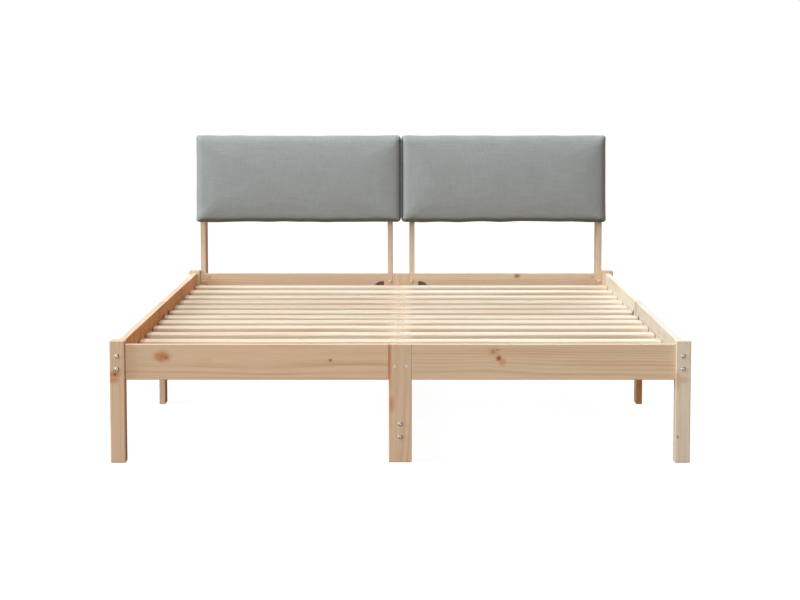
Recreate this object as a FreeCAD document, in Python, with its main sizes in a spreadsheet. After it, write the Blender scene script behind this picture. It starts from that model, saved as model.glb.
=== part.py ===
"""Double bed frame of pine boards, with slats in two rows and two cushions at the head.

X runs across the bed, +Y from the foot to the head, +Z up. The origin is on the floor,
under the middle of the whole frame. Lengths are in millimetres.
"""
import FreeCAD
import Part
import Sketcher
import os
from types import SimpleNamespace

SIZES = {
    # The whole frame
    "bed_width": 1460,
    "bed_length": 2060,
    "board_thick": 18,
    "edge_round": 2,
    # Corner posts
    "post_side": 38,
    "post_height": 310,
    "post_round": 3,
    # Rails at the foot, the head and the sides
    "rail_bottom": 210,
    "rail_height": 90,
    "side_height": 92,
    # Legs between the halves of the rails
    "leg_width": 58,
    # Slats, the strips and the beam that carry them
    "slat_top": 265,
    "slat_width": 64,
    "slat_thick": 12,
    "slat_round": 5,
    "slat_gap": 0.4,
    "slat_end_clear": 2,
    "ledger_width": 20,
    "ledger_height": 30,
    "ledger_clear": 2,
    "beam_height": 25,
    # Uprights and back boards of the head
    "upright_depth": 90,
    "upright_top": 706,
    "inner_upright_place": 37.5,
    "back_board_height": 165,
    "back_board_gap": 1,
    # Cushions and the panels inside them
    "cushion_width": 697.4,
    "cushion_height": 296.5,
    "cushion_thick": 60,
    "cushion_bottom": 480,
    "cushion_inner_edge": 0.4,
    "cushion_corner": 14,
    "cushion_draw": 1.2,
    "cushion_roll": 10,
    "cushion_rim": 24,
    "cushion_clear": 0.3,
    "panel_thick": 10,
    # Bolts with domed heads, and their barrel nuts
    "bolt_diameter": 6,
    "bolt_clear": 0.3,
    "bolt_head": 11,
    "bolt_head_height": 3.5,
    "bolt_reach": 45,
    "bolt_tip_clear": 1,
    "socket_depth": 2,
    "barrel_wall": 2,
    "barrel_sink": 0.5,
    "barrel_floor": 2,
    "barrel_setback": 32,
    "post_bolt_lower": 239,
    "post_bolt_upper": 271.5,
    "rail_bolt_lower": 222,
    "rail_bolt_upper": 288,
    "rail_bolt_sink": 1,
    "upright_bolt_lower": 234,
    "upright_bolt_upper": 273,
    "leg_bolt_lower": 65,
    "leg_bolt_upper": 98,
    "leg_bolt_floor": 4,
    # Round-ended pockets in the rails, for the bolts that hold the legs
    "pocket_radius": 28,
    "pocket_throat": 7,
    "pocket_setback": 30,
    "pocket_height": 245,
    "pocket_clear": 0.4,
    "leg_barrel_inset": 14,
    "leg_bolt_reach": 22,
    "washer_rim": 0.5,
    "washer_thick": 1.6,
    # Wood screws
    "screw_diameter": 4,
    "screw_clear": 0.3,
    "screw_head": 7.5,
    "screw_head_height": 2.4,
    "slat_screw_length": 24,
    "slat_screw_place": 7.5,
    "ledger_screw_length": 28,
    "beam_screw_length": 45,
    "beam_screw_place": 18,
    "board_screw_length": 40,
    "board_screw_inset": 40,
    "panel_bolt_floor": 2,
    # How far every cut runs past the face that it starts from
    "overrun": 1,
}

# Where the slats lie between the foot rail (0) and the head rail (1)
SLAT_SHARES = (
    0.9576, 0.8688, 0.7814, 0.7041, 0.6272, 0.5554, 0.4800,
    0.4152, 0.3433, 0.2645, 0.1856, 0.1118, 0.0379,
)
LONG_LEDGER_SCREW_SHARES = (0.15, 0.5, 0.85)
SHORT_LEDGER_SCREW_SHARES = (0.18, 0.82)
PANEL_BOLT_WIDTH_SHARES = (0.25, 0.75)
PANEL_BOLT_HEIGHT_SHARES = (0.2, 0.8)
# Rings of a cushion: how far through its thickness, and how many rolls inside the outline
CUSHION_RING_SHARES = (
    (0, 0.4), (0.3, 0), (0.55, 0.15), (0.72, 0.6), (0.83, 1.4),
    (0.91, 2.9), (0.96, 5), (0.99, 8.2), (1, 9.5),
)
SOCKET_HEAD_SHARE = 0.22
HEAD_CROWN_SHARE = 0.3
HEAD_EDGE_SHARE = 0.55
SIDES = {"left": -1, "right": 1}
# Edges of a box that are rounded, by the size of the rounding. A slat has rounder edges on top.
BOARD_EDGES = {"edge_round": tuple(range(1, 13))}
POST_EDGES = {"post_round": tuple(range(1, 13))}
SLAT_EDGES = {"slat_round": (10, 12), "edge_round": (9, 11)}
DIRECTIONS = {
    "+X": (1, 0, 0), "-X": (-1, 0, 0),
    "+Y": (0, 1, 0), "-Y": (0, -1, 0),
    "+Z": (0, 0, 1), "-Z": (0, 0, -1),
}


class Length:
    """A length of the sheet, or a sum of such lengths, kept as the text of an expression."""

    def __init__(self, text):
        self.text = str(text)

    def __str__(self):
        return self.text

    def __add__(self, other):
        return Length(f"({self} + {other})")

    def __radd__(self, other):
        return Length(f"({other} + {self})")

    def __sub__(self, other):
        return Length(f"({self} - {other})")

    def __mul__(self, number):
        return Length(f"({self} * {number})")

    def __truediv__(self, number):
        return Length(f"({self} / {number})")

    def __neg__(self):
        return Length(f"(-{self})")


doc = FreeCAD.newDocument("DoubleBed")
sheet = doc.addObject("Spreadsheet::Sheet", "Sizes")
for row, (alias, number) in enumerate(SIZES.items(), start=1):
    sheet.set(f"A{row}", alias)
    sheet.set(f"B{row}", str(number))
    sheet.setAlias(f"B{row}", alias)
doc.recompute()
s = SimpleNamespace(**{alias: Length(f"Sizes.{alias}") for alias in SIZES})
nodes = []

# Faces and centre lines that several pieces share
half = s.bed_width / 2
recess = (s.post_side - s.board_thick) / 2
foot = (s.bolt_head_height + recess - s.bed_length - s.upright_depth) / 2
head = foot + s.bed_length
middle = foot + s.bed_length / 2
post_in = half - s.post_side
side_out = half - recess
side_in = side_out - s.board_thick
foot_in = foot + recess + s.board_thick
head_in = head - recess - s.board_thick
head_back = head - recess
well = head_in - foot_in
rail_top = s.rail_bottom + s.rail_height
side_top = s.rail_bottom + s.side_height
leg_half = s.leg_width / 2
mid_leg_front = middle - leg_half
mid_leg_back = middle + leg_half
slat_under = s.slat_top - s.slat_thick
beam_under = slat_under - s.beam_height
back_board_bottom = s.upright_top - s.back_board_height
cushion_back = head_in - s.cushion_clear
bolt_hole = s.bolt_diameter + s.bolt_clear * 2
bolt_bore = s.bolt_head + s.bolt_clear * 2
rail_bolt_seat = s.bolt_head_height + s.rail_bolt_sink
screw_hole = s.screw_diameter + s.screw_clear * 2
screw_bore = s.screw_head + s.screw_clear * 2
barrel_diameter = s.bolt_diameter + s.barrel_wall * 2
barrel_hole = barrel_diameter + s.bolt_clear * 2
barrel_length = s.board_thick - s.barrel_sink - s.barrel_floor
barrel_depth = s.board_thick - s.barrel_floor + s.bolt_clear
washer = s.bolt_head + s.washer_rim * 2
pocket_depth = (s.board_thick + washer) / 2 + s.pocket_clear
post_bolt_length = s.post_side + s.bolt_reach
upright_bolt_length = s.board_thick + s.bolt_reach
leg_bolt_length = s.board_thick * 2 - s.leg_bolt_floor
pocket_bolt_length = s.washer_thick + s.pocket_setback + s.leg_bolt_reach
panel_bolt_length = s.board_thick + s.panel_thick - s.panel_bolt_floor


def value(length):
    """The number that a length has now."""
    return float(sheet.evalExpression(str(length)))


def bind(piece, **lengths):
    """Ties properties of a piece to the sheet."""
    for name, length in lengths.items():
        piece.setExpression(name, str(length))


def place(piece, at, rotation=None):
    """Puts a piece at a point that follows the sheet."""
    piece.Placement = FreeCAD.Placement(FreeCAD.Vector(), rotation or FreeCAD.Rotation())
    for axis, length in zip("xyz", at):
        piece.setExpression(f"Placement.Base.{axis}", str(length))


def facing(direction):
    """The turn that points +Z along a direction."""
    return FreeCAD.Rotation(FreeCAD.Vector(0, 0, 1), FreeCAD.Vector(*DIRECTIONS[direction]))


def step(at, direction, distance):
    """A point moved along a direction."""
    moved = []
    for start, sign in zip(at, DIRECTIONS[direction]):
        moved.append(start + distance * sign if sign else start)
    return tuple(moved)


def opposite(direction):
    """The direction that points the other way."""
    return ("-" if direction[0] == "+" else "+") + direction[1]


def outward(sign):
    """The direction along X that leads away from the middle on one side of the bed."""
    return "+X" if sign > 0 else "-X"


def across(sign, near, far):
    """The low and high X of a span that is given as distances from the middle of the bed."""
    return (near, far) if sign > 0 else (-far, -near)


def node(piece, name):
    """Names a finished piece, so that it is written out."""
    piece.Label = name
    nodes.append(piece)
    return piece


def together(name, pieces):
    """Several pieces as one object."""
    group = doc.addObject("Part::Compound", name)
    group.Links = pieces
    return group


def drill(at, direction, diameter, length):
    """A round cutter that starts at a face and runs along a direction."""
    cutter = doc.addObject("Part::Cylinder", "Drill")
    bind(cutter, Radius=diameter / 2, Height=length + s.overrun)
    place(cutter, step(at, opposite(direction), s.overrun), facing(direction))
    return cutter


def pocket(at, direction, away):
    """A round-ended cutter: at is the middle of its flat end, which faces against away."""
    axis = FreeCAD.Vector(*DIRECTIONS[direction])
    bulge = FreeCAD.Vector(*DIRECTIONS[away])
    edge = bulge.cross(axis)
    turn = FreeCAD.Rotation(edge, bulge, axis, "ZYX")
    start = step(at, opposite(direction), s.overrun)
    round_end = doc.addObject("Part::Cylinder", "Pocket_round")
    round_end.Angle = 180
    bind(round_end, Radius=s.pocket_radius, Height=pocket_depth + s.overrun)
    place(round_end, step(start, away, s.pocket_throat), turn)
    throat = doc.addObject("Part::Box", "Pocket_throat")
    bind(throat, Length=s.pocket_radius * 2, Width=s.pocket_throat, Height=pocket_depth + s.overrun)
    place(throat, step(start, "-Z" if edge.z > 0 else "+Z", s.pocket_radius), turn)
    cutter = doc.addObject("Part::MultiFuse", "Pocket")
    cutter.Shapes = [round_end, throat]
    return cutter


def board(name, spans, cutters=(), roundings=BOARD_EDGES):
    """A planed board between the low and high ends of its three spans, eased and drilled."""
    low = [span[0] for span in spans]
    blank = doc.addObject("Part::Box", f"{name}_blank")
    sides = [end - start for start, end in spans]
    bind(blank, Length=sides[0], Width=sides[1], Height=sides[2])
    place(blank, low)
    eased = doc.addObject("Part::Fillet", f"{name}_eased")
    eased.Base = blank
    eased.Edges = [
        (edge, value(getattr(s, size)), value(getattr(s, size)))
        for size, edges in roundings.items() for edge in edges
    ]
    if not cutters:
        return eased
    bored = doc.addObject("Part::Cut", name)
    bored.Base = eased
    bored.Tool = together(f"{name}_cutters", list(cutters))
    return bored


def turned(name, shank, length, cap, cap_height):
    """A bolt or screw on +Z: the top of its domed head at 0, its tip at the far end."""
    body = doc.addObject("PartDesign::Body", name)
    plane = next(item for item in body.Origin.OriginFeatures if item.Role == "XZ_Plane")
    sketch = body.newObject("Sketcher::SketchObject", f"{name}_profile")
    sketch.AttachmentSupport = [(plane, "")]
    sketch.MapMode = "FlatFace"
    tip = cap_height + length
    outline = [
        (0, 0),
        (cap * HEAD_CROWN_SHARE, 0),
        (cap / 2, cap_height * HEAD_EDGE_SHARE),
        (cap / 2, cap_height),
        (shank / 2, cap_height),
        (shank / 2, tip),
        (0, tip),
    ]
    points = [FreeCAD.Vector(value(x), value(y), 0) for x, y in outline]
    count = len(points)
    for index, point in enumerate(points):
        sketch.addGeometry(Part.LineSegment(point, points[(index + 1) % count]))
    for index in range(count):
        sketch.addConstraint(Sketcher.Constraint("Coincident", index, 2, (index + 1) % count, 1))
    for index, (across_axis, along_axis) in enumerate(outline):
        for kind, length_here in (("DistanceX", across_axis), ("DistanceY", along_axis)):
            at = sketch.addConstraint(
                Sketcher.Constraint(kind, -1, 1, index, 1, value(length_here))
            )
            if isinstance(length_here, Length):
                sketch.setExpression(f"Constraints[{at}]", str(length_here))
    solid = body.newObject("PartDesign::Revolution", f"{name}_turned")
    solid.Profile = sketch
    solid.ReferenceAxis = (sketch, ["V_Axis"])
    socket = doc.addObject("Part::Prism", f"{name}_socket")
    socket.Polygon = 6
    bind(socket, Circumradius=cap * SOCKET_HEAD_SHARE, Height=s.socket_depth + s.overrun)
    place(socket, (Length(0), Length(0), -s.overrun))
    finished = doc.addObject("Part::Cut", f"{name}_master")
    finished.Base = body
    finished.Tool = socket
    return finished


def copies(name, master, seats, cap_height):
    """Copies of a bolt or screw, each with the underside of its head on a seat."""
    links = []
    for at, direction in seats:
        link = doc.addObject("App::Link", f"{name}_copy")
        link.LinkedObject = master
        place(link, step(at, opposite(direction), cap_height), facing(direction))
        links.append(link)
    return node(together(name, links), name)


def barrel(at, direction, bolt_cutter):
    """A barrel nut let into a face, with the hole of its bolt across it."""
    blank = doc.addObject("Part::Cylinder", "Barrel_blank")
    bind(blank, Radius=barrel_diameter / 2, Height=barrel_length)
    place(blank, step(at, direction, s.barrel_sink), facing(direction))
    nut = doc.addObject("Part::Cut", "Barrel")
    nut.Base = blank
    nut.Tool = bolt_cutter
    return nut


# Cutters and seats, gathered by the piece that they go into
cutters = {}
barrels = []
post_seats = []
pocket_seats = []
upright_seats = []
leg_seats = []


def cut_from(cutter, *names):
    """Keeps a cutter for each named board."""
    for name in names:
        cutters.setdefault(name, []).append(cutter)


def bolted(seats, seat, direction, length, pieces, nut_at, nut_facing, nut_piece):
    """One bolt with its hole through some pieces, and the barrel nut that it screws into."""
    seats.append((seat, direction))
    hole = drill(seat, direction, bolt_hole, length + s.bolt_tip_clear)
    cut_from(hole, *pieces)
    cut_from(drill(nut_at, nut_facing, barrel_hole, barrel_depth), nut_piece)
    barrels.append(barrel(nut_at, nut_facing, hole))


def corner_joints(end, side, sign):
    """Bolts of one corner post: two into the side rail and two, let in, into the end rail."""
    outer = foot if end == "foot" else head
    inward = "+Y" if end == "foot" else "-Y"
    rail_inner = foot_in if end == "foot" else head_in
    post = f"{end}_{side}_post"
    side_rail = f"{side}_{end}_side_rail"
    end_rail = f"{end}_{side}_rail"
    post_middle = (half - s.post_side / 2) * sign
    end_of_side_rail = step((post_middle, outer, Length(0)), inward, s.post_side)[1]
    for level in (s.post_bolt_lower, s.post_bolt_upper):
        seat = (post_middle, outer, level)
        nut_row = step((post_middle, end_of_side_rail, level), inward, s.barrel_setback)[1]
        nut_at = (side_in * sign, nut_row, level)
        bolted(post_seats, seat, inward, post_bolt_length, (post, side_rail),
               nut_at, outward(sign), side_rail)
    rail_middle = step((Length(0), rail_inner, Length(0)), opposite(inward), s.board_thick / 2)[1]
    for level in (s.rail_bolt_lower, s.rail_bolt_upper):
        face = (half * sign, rail_middle, level)
        cut_from(drill(face, outward(-sign), bolt_bore, rail_bolt_seat), post)
        seat = step(face, outward(-sign), rail_bolt_seat)
        nut_at = ((post_in - s.barrel_setback) * sign, rail_inner, level)
        bolted(post_seats, seat, outward(-sign), post_bolt_length, (post, end_rail),
               nut_at, opposite(inward), end_rail)


def pocket_joint(leg, rail, flat, away, inner_face, into, nut_at, nut_facing):
    """A bolt from the round-ended pocket of a rail into a leg. flat is the middle of its flat end."""
    cut_from(pocket(inner_face, into, away), rail)
    seat = step(flat, away, s.washer_thick)
    bolted(pocket_seats, seat, opposite(away), pocket_bolt_length, (leg, rail),
           nut_at, nut_facing, leg)


def end_leg_joints(end, side, sign):
    """The pocket joint between half a rail at one end of the bed and the leg beside it."""
    rail_inner = foot_in if end == "foot" else head_in
    into = "-Y" if end == "foot" else "+Y"
    line = step((Length(0), rail_inner, Length(0)), into, s.board_thick / 2)[1]
    flat_place = (leg_half + s.pocket_setback) * sign
    nut_face = step((Length(0), rail_inner, Length(0)), into, s.board_thick)[1]
    nut_at = ((leg_half - s.leg_barrel_inset) * sign, nut_face, s.pocket_height)
    pocket_joint(
        f"{end}_centre_leg", f"{end}_{side}_rail",
        (flat_place, line, s.pocket_height), outward(sign),
        (flat_place, rail_inner, s.pocket_height), into, nut_at, opposite(into),
    )


def side_leg_joints(side, sign, end):
    """The pocket joint between half a side rail and the leg at the middle of that side."""
    away = "-Y" if end == "foot" else "+Y"
    line = (side_in + s.board_thick / 2) * sign
    leg_face = mid_leg_front if end == "foot" else mid_leg_back
    flat_row = step((line, leg_face, Length(0)), away, s.pocket_setback)[1]
    nut_row = step((line, leg_face, Length(0)), opposite(away), s.leg_barrel_inset)[1]
    pocket_joint(
        f"{side}_middle_leg", f"{side}_{end}_side_rail",
        (line, flat_row, s.pocket_height), away,
        (side_in * sign, flat_row, s.pocket_height), outward(sign),
        (side_out * sign, nut_row, s.pocket_height), outward(-sign),
    )


def upright_joints(side, sign, which, centre):
    """Two bolts that hold an upright against the back of the head rail."""
    upright = f"{side}_{which}_upright"
    for level in (s.upright_bolt_lower, s.upright_bolt_upper):
        seat = (centre * sign, head_in, level)
        nut_at = ((centre - s.board_thick / 2) * sign, head_back + s.barrel_setback, level)
        bolted(upright_seats, seat, "+Y", upright_bolt_length, (f"head_{side}_rail", upright),
               nut_at, outward(sign), upright)


upright_places = {
    "outer": post_in - s.board_thick / 2,
    "inner": s.inner_upright_place,
}
for side, sign in SIDES.items():
    for end in ("foot", "head"):
        corner_joints(end, side, sign)
        end_leg_joints(end, side, sign)
        side_leg_joints(side, sign, end)
    for which, centre in upright_places.items():
        upright_joints(side, sign, which, centre)

for end, outer_face, inward in (("foot", foot_in - s.board_thick, "+Y"), ("head", head_back, "-Y")):
    for level in (s.leg_bolt_lower, s.leg_bolt_upper):
        seat = (Length(0), outer_face, level)
        leg_seats.append((seat, inward))
        hole = drill(seat, inward, bolt_hole, leg_bolt_length + s.bolt_tip_clear)
        cut_from(hole, f"{end}_centre_leg", f"{end}_beam_leg")


# Screws, each let into the face that it starts from
slat_seats = []
wood_seats = {"ledger": [], "beam": [], "back_board": []}


def screwed(seats, face, direction, length, first, *others):
    """One screw with its head flush in the first piece and its hole through all of them."""
    seat = step(face, direction, s.screw_head_height)
    seats.append((seat, direction))
    hole = drill(seat, direction, screw_hole, length + s.bolt_tip_clear)
    cut_from(hole, first, *others)
    cut_from(drill(face, direction, screw_bore, s.screw_head_height), first)


ledger_rows = {
    "foot": (
        foot + s.post_side + s.ledger_clear,
        mid_leg_front - s.pocket_setback - s.pocket_throat - s.pocket_radius - s.ledger_clear,
    ),
    "middle": (
        mid_leg_front - s.pocket_setback + s.ledger_clear,
        mid_leg_back + s.pocket_setback - s.ledger_clear,
    ),
    "head": (
        mid_leg_back + s.pocket_setback + s.pocket_throat + s.pocket_radius + s.ledger_clear,
        head - s.post_side - s.ledger_clear,
    ),
}
slat_rows = [foot_in + well * share for share in SLAT_SHARES]
ledger_in = side_in - s.ledger_width
ledger_middle = side_in - s.ledger_width / 2
ledger_low = slat_under - s.ledger_height
ledger_mid_level = slat_under - s.ledger_height / 2

for side, sign in SIDES.items():
    ledgers = [f"{side}_{place_name}_ledger" for place_name in ledger_rows]
    for index, slat_row in enumerate(slat_rows, start=1):
        slat = f"{side}_slat_{index:02d}"
        inner = (s.slat_screw_place * sign, slat_row, s.slat_top)
        screwed(slat_seats, inner, "-Z", s.slat_screw_length, slat, "centre_beam")
        outer = (ledger_middle * sign, slat_row, s.slat_top)
        screwed(slat_seats, outer, "-Z", s.slat_screw_length, slat, *ledgers)
    for place_name, (start, end) in ledger_rows.items():
        shares = LONG_LEDGER_SCREW_SHARES
        backing = f"{side}_{place_name}_side_rail"
        if place_name == "middle":
            shares = SHORT_LEDGER_SCREW_SHARES
        for share in shares:
            row_here = start + (end - start) * share
            if place_name == "middle":
                backing = f"{side}_foot_side_rail" if share < 0.5 else f"{side}_head_side_rail"
            screwed(wood_seats["ledger"], (ledger_in * sign, row_here, ledger_mid_level),
                    outward(sign), s.ledger_screw_length, f"{side}_{place_name}_ledger", backing)
    for which, centre in upright_places.items():
        for level in (back_board_bottom + s.board_screw_inset, s.upright_top - s.board_screw_inset):
            screwed(wood_seats["back_board"], (centre * sign, head_in, level), "+Y",
                    s.board_screw_length, f"{side}_back_board", f"{side}_{which}_upright")

beam_leg_rows = {
    "foot_beam_leg": (foot_in, foot_in + s.board_thick),
    "middle_beam_leg": (middle - s.board_thick / 2, middle + s.board_thick / 2),
    "head_beam_leg": (head_in - s.board_thick, head_in),
}
for leg, (start, end) in beam_leg_rows.items():
    for sign in SIDES.values():
        face = (s.beam_screw_place * sign, (start + end) / 2, slat_under)
        screwed(wood_seats["beam"], face, "-Z", s.beam_screw_length, "centre_beam", leg)


# Bolts from behind the back boards into the panels of the cushions
panel_seats = []
panel_span = (
    s.cushion_inner_edge + s.cushion_rim,
    s.cushion_inner_edge + s.cushion_width - s.cushion_rim,
)
panel_levels = (
    s.cushion_bottom + s.cushion_rim,
    s.cushion_bottom + s.cushion_height - s.cushion_rim,
)
for side, sign in SIDES.items():
    for width_share in PANEL_BOLT_WIDTH_SHARES:
        for height_share in PANEL_BOLT_HEIGHT_SHARES:
            at = panel_span[0] + (panel_span[1] - panel_span[0]) * width_share
            level = back_board_bottom + s.back_board_height * height_share
            seat = (at * sign, head_back, level)
            panel_seats.append((seat, "-Y"))
            hole = drill(seat, "-Y", bolt_hole, panel_bolt_length + s.bolt_tip_clear)
            cut_from(hole, f"{side}_back_board", f"{side}_cushion_panel")


def add_board(name, spans, roundings=BOARD_EDGES):
    """A board with all the cutters that were kept for it, as a node of its own."""
    return node(board(name, spans, cutters.get(name, ()), roundings), name)


# Posts and rails
for end in ("foot", "head"):
    rows = (foot, foot + s.post_side) if end == "foot" else (head - s.post_side, head)
    rail_rows = (foot_in - s.board_thick, foot_in) if end == "foot" else (head_in, head_back)
    for side, sign in SIDES.items():
        add_board(f"{end}_{side}_post",
                  (across(sign, post_in, half), rows, (Length(0), s.post_height)), POST_EDGES)
        add_board(f"{end}_{side}_rail",
                  (across(sign, leg_half, post_in), rail_rows, (s.rail_bottom, rail_top)))
        side_rows = (foot + s.post_side, mid_leg_front)
        if end == "head":
            side_rows = (mid_leg_back, head - s.post_side)
        add_board(f"{side}_{end}_side_rail",
                  (across(sign, side_in, side_out), side_rows, (s.rail_bottom, side_top)))
    add_board(f"{end}_centre_leg",
              ((-leg_half, leg_half), rail_rows, (Length(0), rail_top)))

# Legs under the sides and the centre beam
for side, sign in SIDES.items():
    add_board(f"{side}_middle_leg",
              (across(sign, side_in, side_out), (mid_leg_front, mid_leg_back),
               (Length(0), side_top)))
for leg, leg_rows in beam_leg_rows.items():
    add_board(leg, ((-leg_half, leg_half), leg_rows, (Length(0), beam_under)))
add_board("centre_beam", ((-leg_half, leg_half), (foot_in, head_in), (beam_under, slat_under)))

# Ledgers and slats
for side, sign in SIDES.items():
    for place_name, ledger_row in ledger_rows.items():
        add_board(f"{side}_{place_name}_ledger",
                  (across(sign, ledger_in, side_in), ledger_row, (ledger_low, slat_under)))
for index, slat_row in enumerate(slat_rows, start=1):
    halves = []
    for side, sign in SIDES.items():
        name = f"{side}_slat_{index:02d}"
        spans = (
            across(sign, s.slat_gap / 2, side_in - s.slat_end_clear),
            (slat_row - s.slat_width / 2, slat_row + s.slat_width / 2),
            (slat_under, s.slat_top),
        )
        halves.append(board(name, spans, cutters[name], SLAT_EDGES))
    node(together(f"slats_{index:02d}", halves), f"slat_pair_{index:02d}")

# Uprights and back boards
for side, sign in SIDES.items():
    for which, centre in upright_places.items():
        columns = (centre - s.board_thick / 2, centre + s.board_thick / 2)
        add_board(f"{side}_{which}_upright",
                  (across(sign, *columns), (head_back, head_back + s.upright_depth),
                   (s.rail_bottom, s.upright_top)))
    add_board(f"{side}_back_board",
              (across(sign, s.back_board_gap / 2, post_in), (head_in, head_back),
               (back_board_bottom, s.upright_top)))
    add_board(f"{side}_cushion_panel",
              (across(sign, *panel_span), (head_in - s.panel_thick, head_in), panel_levels))


def cushion_outline(centre, row, level, width, height, corner, draw):
    """A rounded rectangle in a plane across Y, its four sides drawn in between the corners."""
    right = width / 2
    top = height / 2
    bend = corner * (1 - 0.5 ** 0.5)
    ends = [
        ((right - corner, top), (right - bend, top - bend), (right, top - corner)),
        ((right, corner - top), (right - bend, bend - top), (right - corner, -top)),
        ((corner - right, -top), (bend - right, bend - top), (-right, corner - top)),
        ((-right, top - corner), (bend - right, top - bend), (corner - right, top)),
    ]
    waists = [(right - draw, 0), (0, draw - top), (draw - right, 0), (0, top - draw)]

    def point(place_here):
        return FreeCAD.Vector(centre + place_here[0], row, level + place_here[1])

    edges = []
    for index, bend_points in enumerate(ends):
        edges.append(Part.Arc(*(point(end_here) for end_here in bend_points)).toShape())
        following = ends[(index + 1) % len(ends)]
        side_points = (bend_points[2], waists[index], following[0])
        edges.append(Part.Arc(*(point(end_here) for end_here in side_points)).toShape())
    return Part.Wire(edges)


def cushion(side, sign):
    """A cushion with a crowned front and rolled edges, hollowed at the back for its panel."""
    width = value(s.cushion_width)
    height = value(s.cushion_height)
    thick = value(s.cushion_thick)
    corner = value(s.cushion_corner)
    draw = value(s.cushion_draw)
    roll = value(s.cushion_roll)
    back = value(cushion_back)
    centre = sign * (value(s.cushion_inner_edge) + width / 2)
    level = value(s.cushion_bottom) + height / 2
    outlines = []
    for thick_share, roll_share in CUSHION_RING_SHARES:
        row = back - thick * thick_share
        inset = roll * roll_share
        outlines.append(cushion_outline(
            centre, row, level, width - inset * 2, height - inset * 2, corner, draw
        ))
    solid = Part.makeLoft(outlines, True)
    clear = value(s.cushion_clear)
    depth = value(s.panel_thick) + clear
    low_x, high_x = (value(end_here) for end_here in across(sign, *panel_span))
    low_z, high_z = (value(end_here) for end_here in panel_levels)
    hollow = Part.makeBox(
        high_x - low_x + clear * 2, depth + value(s.overrun), high_z - low_z + clear * 2,
        FreeCAD.Vector(low_x - clear, value(head_in) - depth, low_z - clear),
    )
    soft = doc.addObject("Part::Feature", f"{side}_cushion")
    soft.Shape = solid.cut(hollow)
    soft.Placement = FreeCAD.Placement()
    node(soft, f"{side}_cushion")


for side, sign in SIDES.items():
    cushion(side, sign)


def bolt_set(name, seats, length):
    """A group of equal bolts."""
    master = turned(f"{name}_bolt", s.bolt_diameter, length, s.bolt_head, s.bolt_head_height)
    return copies(name, master, seats, s.bolt_head_height)


def screw_set(name, seats, length):
    """A group of equal wood screws."""
    master = turned(f"{name}_screw", s.screw_diameter, length, s.screw_head, s.screw_head_height)
    return copies(name, master, seats, s.screw_head_height)


# Fasteners
bolt_set("post_bolts", post_seats, post_bolt_length)
bolt_set("pocket_bolts", pocket_seats, pocket_bolt_length)
bolt_set("upright_bolts", upright_seats, upright_bolt_length)
bolt_set("beam_leg_bolts", leg_seats, leg_bolt_length)
bolt_set("panel_bolts", panel_seats, panel_bolt_length)
screw_set("slat_screws", slat_seats, s.slat_screw_length)
screw_set("ledger_screws", wood_seats["ledger"], s.ledger_screw_length)
screw_set("beam_screws", wood_seats["beam"], s.beam_screw_length)
screw_set("back_board_screws", wood_seats["back_board"], s.board_screw_length)
node(together("barrel_nuts", barrels), "barrel_nuts")

rings = []
for at, direction in pocket_seats:
    disc = doc.addObject("Part::Cylinder", "Washer_blank")
    bind(disc, Radius=washer / 2, Height=s.washer_thick)
    place(disc, at, facing(direction))
    ring = doc.addObject("Part::Cut", "Washer")
    ring.Base = disc
    ring.Tool = drill(at, direction, bolt_hole, s.washer_thick + s.overrun)
    rings.append(ring)
node(together("pocket_washers", rings), "pocket_washers")

doc.recompute()
for item in doc.Objects:
    if "Invalid" in item.State or "Error" in item.State:
        raise RuntimeError(f"{item.Label} could not be made: {item.State}")
for piece in nodes:
    if piece.Shape.isNull() or not piece.Shape.isValid() or not piece.Shape.Solids:
        raise RuntimeError(f"{piece.Label} has no valid solid")

os.makedirs("parts", exist_ok=True)
for piece in nodes:
    piece.Shape.exportStep(os.path.join("parts", f"{piece.Label}.step"))
print(len(nodes), "nodes,", sum(len(piece.Shape.Solids) for piece in nodes), "solids")
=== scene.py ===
"""Looks of the double bed frame: raw pine, linen cushions, plated bolts and a white studio."""
import math
import random
import bmesh
import bpy
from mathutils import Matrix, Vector, noise


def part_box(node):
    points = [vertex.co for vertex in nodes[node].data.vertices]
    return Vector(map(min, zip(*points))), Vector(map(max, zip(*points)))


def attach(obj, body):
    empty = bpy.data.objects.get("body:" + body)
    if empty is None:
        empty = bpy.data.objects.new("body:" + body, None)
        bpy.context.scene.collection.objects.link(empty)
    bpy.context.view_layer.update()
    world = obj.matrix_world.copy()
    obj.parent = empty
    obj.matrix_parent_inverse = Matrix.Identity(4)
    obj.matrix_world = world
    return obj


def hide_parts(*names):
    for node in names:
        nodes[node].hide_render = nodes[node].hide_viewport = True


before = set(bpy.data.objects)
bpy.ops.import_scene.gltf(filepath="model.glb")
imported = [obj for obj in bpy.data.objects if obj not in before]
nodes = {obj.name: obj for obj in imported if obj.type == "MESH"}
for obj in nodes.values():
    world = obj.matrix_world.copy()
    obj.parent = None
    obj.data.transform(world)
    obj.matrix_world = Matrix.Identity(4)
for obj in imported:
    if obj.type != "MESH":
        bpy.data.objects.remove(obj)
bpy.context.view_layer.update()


def colour(red, green, blue):
    """A linear colour with its alpha."""
    return (red, green, blue, 1.0)


# Lengths are in metres, and waves are the number of a pattern's waves per metre. A step is soft: it
# names the values between which a pattern rises, and what it rises from and to, or else from 0 to 1.

CAP_NODES = ("upright_bolts",)
NUT_NODES = ("barrel_nuts",)
DARK_NODES = ("slat_screws",)
STEEL_NODES = (
    "post_bolts", "pocket_bolts", "beam_leg_bolts", "panel_bolts",
    "ledger_screws", "beam_screws", "back_board_screws",
    "pocket_washers",
)
PLY_NODES = ("left_cushion_panel", "right_cushion_panel")
CUSHION_NODES = ("left_cushion", "right_cushion")

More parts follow.
